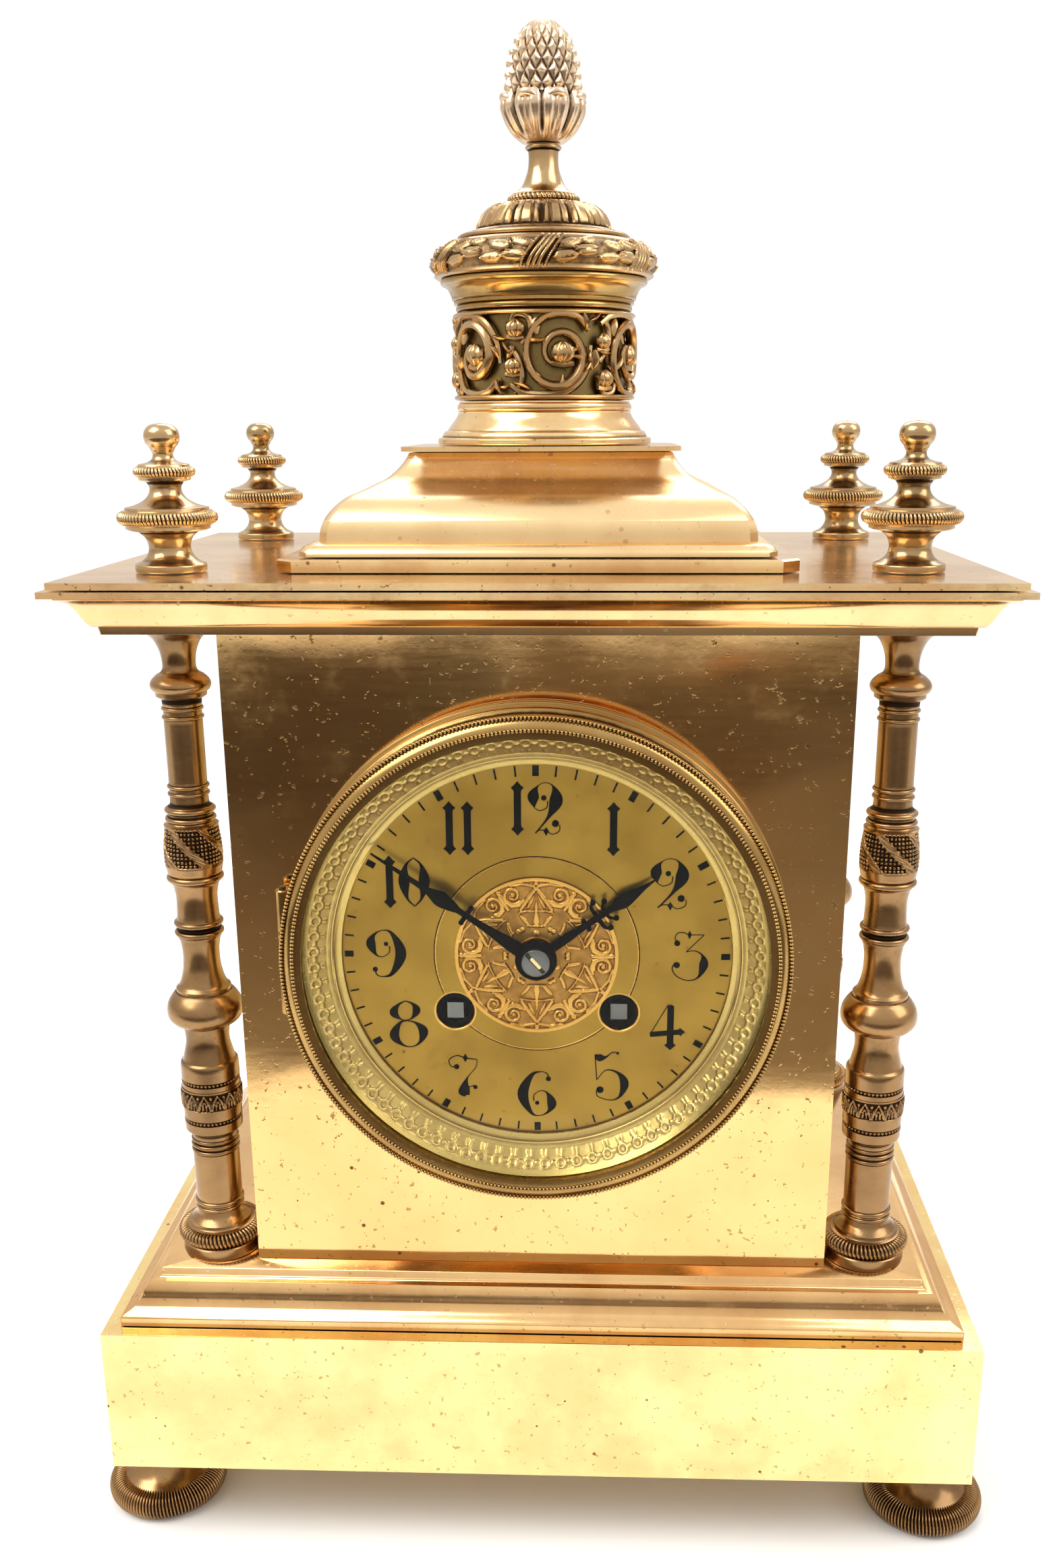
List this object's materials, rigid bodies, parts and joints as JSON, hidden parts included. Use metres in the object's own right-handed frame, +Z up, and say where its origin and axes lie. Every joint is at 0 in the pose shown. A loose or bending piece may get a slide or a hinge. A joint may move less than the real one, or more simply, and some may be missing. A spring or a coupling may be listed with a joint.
{
  "type": "mantel clock",
  "caption": "Brass mantel clock: glazed round bezel and gilt dial in a box case between turned columns, on a stepped plinth with disc feet, under a cornice, caddy top and pinecone tower.",
  "frame": {"origin": "on the surface it stands on, under the middle of the clock", "axes": "+Z up, -Y towards the viewer of the dial, +X to the viewer's right"},
  "size_m": [0.2674, 0.1708, 0.4183],
  "materials": {
    "polished_brass": "polished and lacquered, with brown specks",
    "turned_brass": "turned, antique, with dark patina in the grooves",
    "cast_brass": "cast and chased, burnished on the high spots",
    "sleeve_brass": "dull green-brown tarnish",
    "gilt_brass": "matt gilt",
    "movement_brass": "brushed",
    "steel": "brushed",
    "hand_black": "satin black",
    "bell_metal": "nickelled",
    "glass": "bevelled clear glass"
  },
  "bodies": {
    "clock_case": {"base_box": "polished_brass", "base_moulding": "polished_brass", "case_front": "polished_brass", "case_back": "polished_brass", "case_side_left": "polished_brass", "case_side_right": "polished_brass", "cornice_moulding": "polished_brass", "cornice_plate": "polished_brass", "top_plate": "polished_brass", "caddy_plinth": "polished_brass", "caddy_ogee": "polished_brass", "caddy_cap": "polished_brass", "tower_foot": "polished_brass", "tower_sleeve": "sleeve_brass", "frieze_band": "cast_brass", "tower_collar": "polished_brass", "laurel_ring": "cast_brass", "dome_cap": "cast_brass", "finial_stem": "turned_brass", "pinecone": "cast_brass", "foot_front_left": "turned_brass", "foot_front_right": "turned_brass", "foot_rear_left": "turned_brass", "foot_rear_right": "turned_brass", "column_front_left": "turned_brass", "column_front_right": "turned_brass", "column_rear_left": "turned_brass", "column_rear_right": "turned_brass", "corner_finial_front_left": "turned_brass", "corner_finial_front_right": "turned_brass", "corner_finial_rear_left": "turned_brass", "corner_finial_rear_right": "turned_brass", "bezel_seat": "polished_brass", "bezel_pin": "steel", "back_door_pin": "steel", "dial_plate": "gilt_brass", "dial_medallion": "gilt_brass", "movement_front_plate": "movement_brass", "movement_back_plate": "movement_brass", "bell": "bell_metal", "bell_stand": "steel", "movement_strap_left": "steel", "movement_strap_right": "steel"},
    "bezel": {"bezel_rim": "polished_brass", "bezel_glass": "glass", "sight_ring": "gilt_brass"},
    "door": {"back_door": "polished_brass"},
    "minute_arbor": {"centre_wheel": "movement_brass", "minute_hand": "hand_black"},
    "hour_pipe": {"hour_wheel": "movement_brass", "hour_hand": "hand_black"},
    "motion_arbor": {"minute_wheel": "movement_brass"},
    "going_drum": {"going_barrel": "movement_brass"},
    "going_key_arbor": {"going_winding_arbor": "steel"},
    "strike_drum": {"strike_barrel": "movement_brass"},
    "strike_key_arbor": {"strike_winding_arbor": "steel"},
    "escape_arbor": {"escape_wheel": "movement_brass"},
    "pallet_arbor": {"pallet_anchor": "steel"},
    "pendulum_rod": {"pendulum": "movement_brass"},
    "hammer_arbor": {"strike_hammer": "steel"}
  },
  "joints": [
    {"name": "bezel_hinge", "type": "hinge", "parent": "clock_case", "child": "bezel", "pos_m": [-0.0669, -0.069, 0.182], "axis": [0, 0, -1], "range_deg": [0, 105]},
    {"name": "back_door_hinge", "type": "hinge", "parent": "clock_case", "child": "door", "pos_m": [0.0615, 0.0664, 0.182], "axis": [0, 0, -1], "range_deg": [0, 105]},
    {"name": "minute_hand_turn", "type": "hinge", "parent": "clock_case", "child": "minute_arbor", "pos_m": [0, -0.0738, 0.182], "axis": [0, 1, 0], "continuous": true},
    {"name": "hour_hand_turn", "type": "hinge", "parent": "clock_case", "child": "hour_pipe", "pos_m": [0, -0.0718, 0.182], "axis": [0, 1, 0], "continuous": true},
    {"name": "motion_wheel_turn", "type": "hinge", "parent": "clock_case", "child": "motion_arbor", "pos_m": [0.0086, -0.0615, 0.1866], "axis": [0, 1, 0], "continuous": true},
    {"name": "going_barrel_turn", "type": "hinge", "parent": "clock_case", "child": "going_drum", "pos_m": [0.0219, -0.0455, 0.1659], "axis": [0, 1, 0], "continuous": true},
    {"name": "going_winding", "type": "hinge", "parent": "clock_case", "child": "going_key_arbor", "pos_m": [0.0219, -0.065, 0.1659], "axis": [0, 1, 0], "range_deg": [0, 1620]},
    {"name": "strike_barrel_turn", "type": "hinge", "parent": "clock_case", "child": "strike_drum", "pos_m": [-0.0219, -0.0455, 0.1659], "axis": [0, 1, 0], "continuous": true},
    {"name": "strike_winding", "type": "hinge", "parent": "clock_case", "child": "strike_key_arbor", "pos_m": [-0.0219, -0.065, 0.1659], "axis": [0, 1, 0], "range_deg": [0, 1620]},
    {"name": "escape_wheel_turn", "type": "hinge", "parent": "clock_case", "child": "escape_arbor", "pos_m": [0, -0.0353, 0.2045], "axis": [0, 1, 0], "continuous": true},
    {"name": "pendulum_swing", "type": "hinge", "parent": "clock_case", "child": "pendulum_rod", "pos_m": [0, -0.012, 0.22], "axis": [0, 1, 0], "range_deg": [-4, 4]},
    {"name": "pallet_rock", "type": "hinge", "parent": "clock_case", "child": "pallet_arbor", "pos_m": [0, -0.0353, 0.22], "axis": [0, 1, 0], "range_deg": [-4, 4]},
    {"name": "hammer_lift", "type": "hinge", "parent": "clock_case", "child": "hammer_arbor", "pos_m": [-0.029, -0.003, 0.152], "axis": [0, -1, 0], "range_deg": [0, 12], "stiffness_Nm_per_rad": 0.05}
  ],
  "couplings": [
    {"joint": "hour_hand_turn", "follows": "minute_hand_turn", "ratio": 0.083333},
    {"joint": "motion_wheel_turn", "follows": "minute_hand_turn", "ratio": -0.33333},
    {"joint": "going_barrel_turn", "follows": "minute_hand_turn", "ratio": 0.021368},
    {"joint": "pallet_rock", "follows": "pendulum_swing", "ratio": 1}
  ]
}
